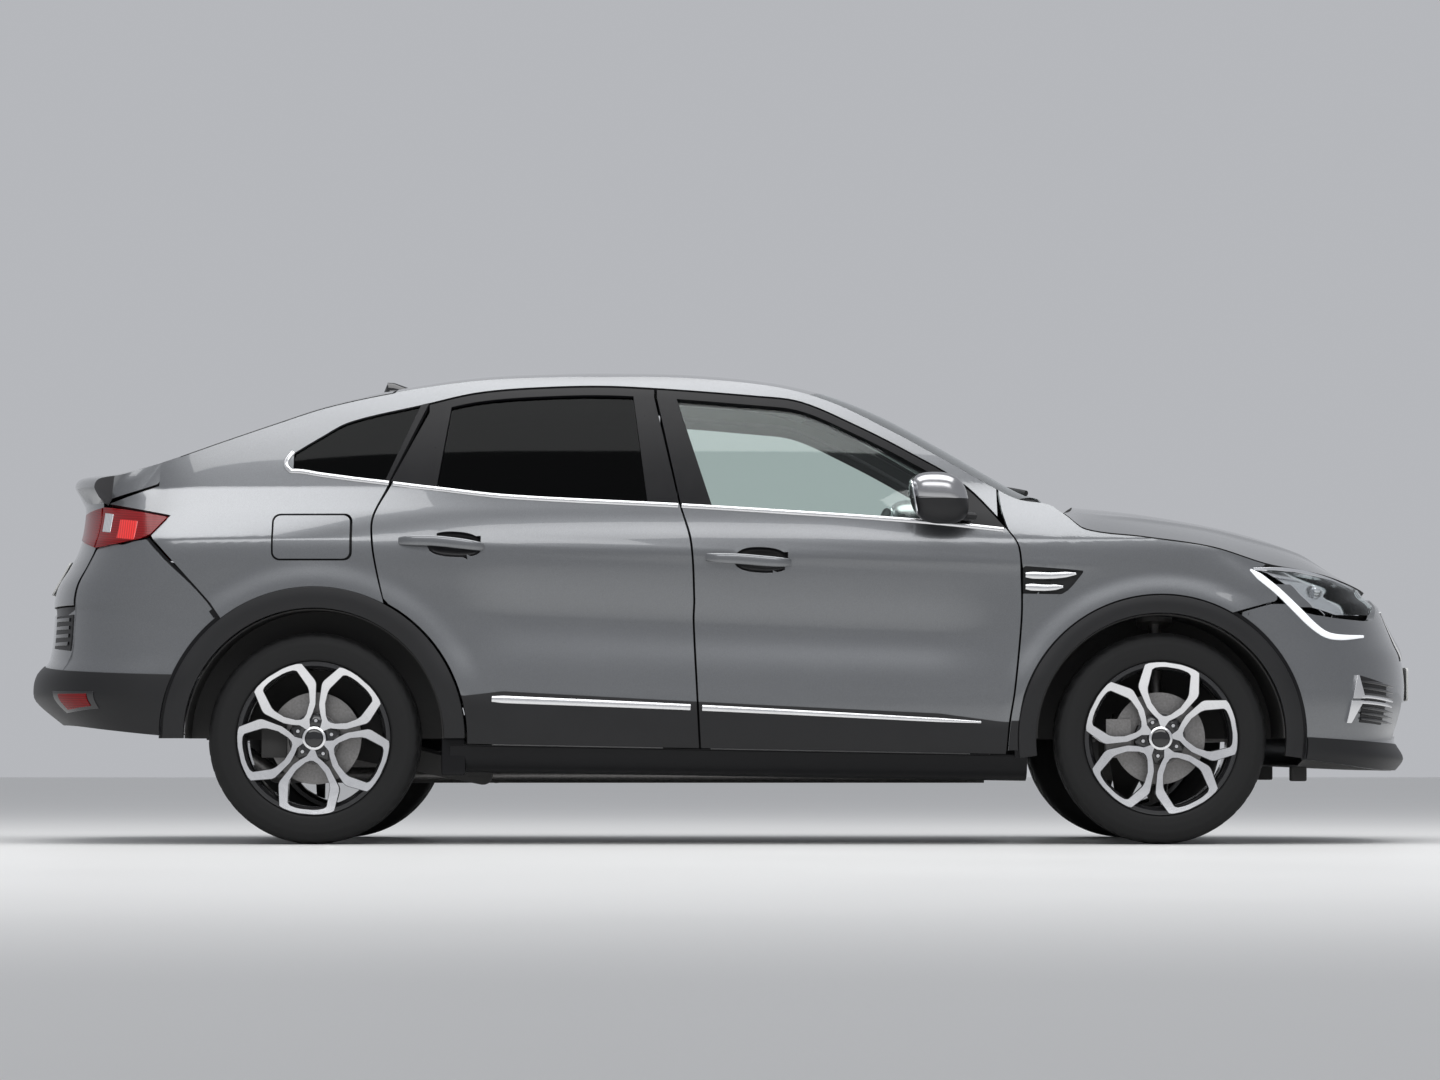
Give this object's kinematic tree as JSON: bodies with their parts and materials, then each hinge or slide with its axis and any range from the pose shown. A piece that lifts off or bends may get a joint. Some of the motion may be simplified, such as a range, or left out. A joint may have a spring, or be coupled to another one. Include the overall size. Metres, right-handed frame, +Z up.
{
  "type": "coupe sport utility vehicle",
  "caption": "Coupe-roofed sport utility vehicle with opening doors, bonnet, tailgate and fuel flap, steered front wheels and turning alloy wheels.",
  "frame": {"origin": "middle of the car's length and width at ground level", "axes": "+X to the nose, +Y to the car's left, +Z up"},
  "size_m": [4.5513, 2.0466, 1.5616],
  "materials": {
    "paint": "grey metallic, glossy",
    "black_trim": "matt grained",
    "mirror_shell": "satin",
    "clear_glass": "clear",
    "dark_glass": "dark tinted",
    "clear_lamp": "clear",
    "red_lamp": "red",
    "alloy": "diamond cut",
    "tyre": "matt",
    "disc_iron": "machined",
    "steel": "coated",
    "seat_cloth": "woven"
  },
  "bodies": {
    "chassis": {"floor_pan": "steel", "sills": "black_trim", "body_sides": "paint", "pillars": "black_trim", "roof_panel": "paint", "front_fenders": "paint", "front_bumper": "paint", "grille": "black_trim", "rear_bumper": "black_trim", "arch_bands": "black_trim", "wheel_liners": "black_trim", "windscreen": "clear_glass", "scuttle_panel": "black_trim", "quarter_glasses": "dark_glass", "headlamps": "clear_lamp", "tail_lamps": "red_lamp", "engine_block": "steel", "dashboard": "black_trim", "steering_wheel": "black_trim", "front_seats": "seat_cloth", "rear_seat": "seat_cloth", "exhaust": "steel", "front_subframe": "steel", "rear_axle": "steel"},
    "bonnet": {"bonnet": "paint"},
    "tailgate": {"tailgate": "paint", "tailgate_glass": "dark_glass", "tailgate_lamps": "red_lamp"},
    "fuel_flap": {"fuel_flap": "paint"},
    "front_left_door": {"front_left_door": "paint", "front_left_glass": "clear_glass", "front_left_mirror": "mirror_shell"},
    "front_right_door": {"front_right_door": "paint", "front_right_glass": "clear_glass", "front_right_mirror": "mirror_shell"},
    "rear_left_door": {"rear_left_door": "paint", "rear_left_glass": "dark_glass"},
    "rear_right_door": {"rear_right_door": "paint", "rear_right_glass": "dark_glass"},
    "front_left_knuckle": {"front_left_knuckle": "steel"},
    "front_right_knuckle": {"front_right_knuckle": "steel"},
    "front_left_wheel": {"front_left_rim": "alloy", "front_left_tyre": "tyre", "front_left_disc": "disc_iron"},
    "front_right_wheel": {"front_right_rim": "alloy", "front_right_tyre": "tyre", "front_right_disc": "disc_iron"},
    "rear_left_wheel": {"rear_left_rim": "alloy", "rear_left_tyre": "tyre", "rear_left_disc": "disc_iron"},
    "rear_right_wheel": {"rear_right_rim": "alloy", "rear_right_tyre": "tyre", "rear_right_disc": "disc_iron"}
  },
  "joints": [
    {"name": "bonnet_hinge", "type": "hinge", "parent": "chassis", "child": "bonnet", "pos_m": [1.1, 0, 1.056], "axis": [0, -1, 0], "range_deg": [0, 48]},
    {"name": "tailgate_hinge", "type": "hinge", "parent": "chassis", "child": "tailgate", "pos_m": [-1.125, 0, 1.478], "axis": [0, 1, 0], "range_deg": [0, 70]},
    {"name": "fuel_flap_hinge", "type": "hinge", "parent": "chassis", "child": "fuel_flap", "pos_m": [-1.193, -0.8975, 0.94], "axis": [0, 0, 1], "range_deg": [0, 85]},
    {"name": "front_left_door_hinge", "type": "hinge", "parent": "chassis", "child": "front_left_door", "pos_m": [0.89, 0.873, 0.67], "axis": [0, 0, -1], "range_deg": [0, 65]},
    {"name": "front_right_door_hinge", "type": "hinge", "parent": "chassis", "child": "front_right_door", "pos_m": [0.89, -0.873, 0.67], "axis": [0, 0, 1], "range_deg": [0, 65]},
    {"name": "rear_left_door_hinge", "type": "hinge", "parent": "chassis", "child": "rear_left_door", "pos_m": [-0.165, 0.873, 0.67], "axis": [0, 0, -1], "range_deg": [0, 65]},
    {"name": "rear_right_door_hinge", "type": "hinge", "parent": "chassis", "child": "rear_right_door", "pos_m": [-0.165, -0.873, 0.67], "axis": [0, 0, 1], "range_deg": [0, 65]},
    {"name": "front_left_steer", "type": "hinge", "parent": "chassis", "child": "front_left_knuckle", "pos_m": [1.413, 0.742, 0.185], "axis": [0, -0.227, 0.9739], "range_deg": [-33, 33]},
    {"name": "front_right_steer", "type": "hinge", "parent": "chassis", "child": "front_right_knuckle", "pos_m": [1.413, -0.742, 0.185], "axis": [0, 0.227, 0.9739], "range_deg": [-33, 33]},
    {"name": "front_left_wheel_spin", "type": "hinge", "parent": "front_left_knuckle", "child": "front_left_wheel", "pos_m": [1.413, 0.783, 0.34], "axis": [0, 1, 0], "continuous": true},
    {"name": "front_right_wheel_spin", "type": "hinge", "parent": "front_right_knuckle", "child": "front_right_wheel", "pos_m": [1.413, -0.783, 0.34], "axis": [0, 1, 0], "continuous": true},
    {"name": "rear_left_wheel_spin", "type": "hinge", "parent": "chassis", "child": "rear_left_wheel", "pos_m": [-1.307, 0.783, 0.34], "axis": [0, 1, 0], "continuous": true},
    {"name": "rear_right_wheel_spin", "type": "hinge", "parent": "chassis", "child": "rear_right_wheel", "pos_m": [-1.307, -0.783, 0.34], "axis": [0, 1, 0], "continuous": true}
  ],
  "couplings": [
    {"joint": "front_right_steer", "follows": "front_left_steer", "ratio": 1}
  ]
}
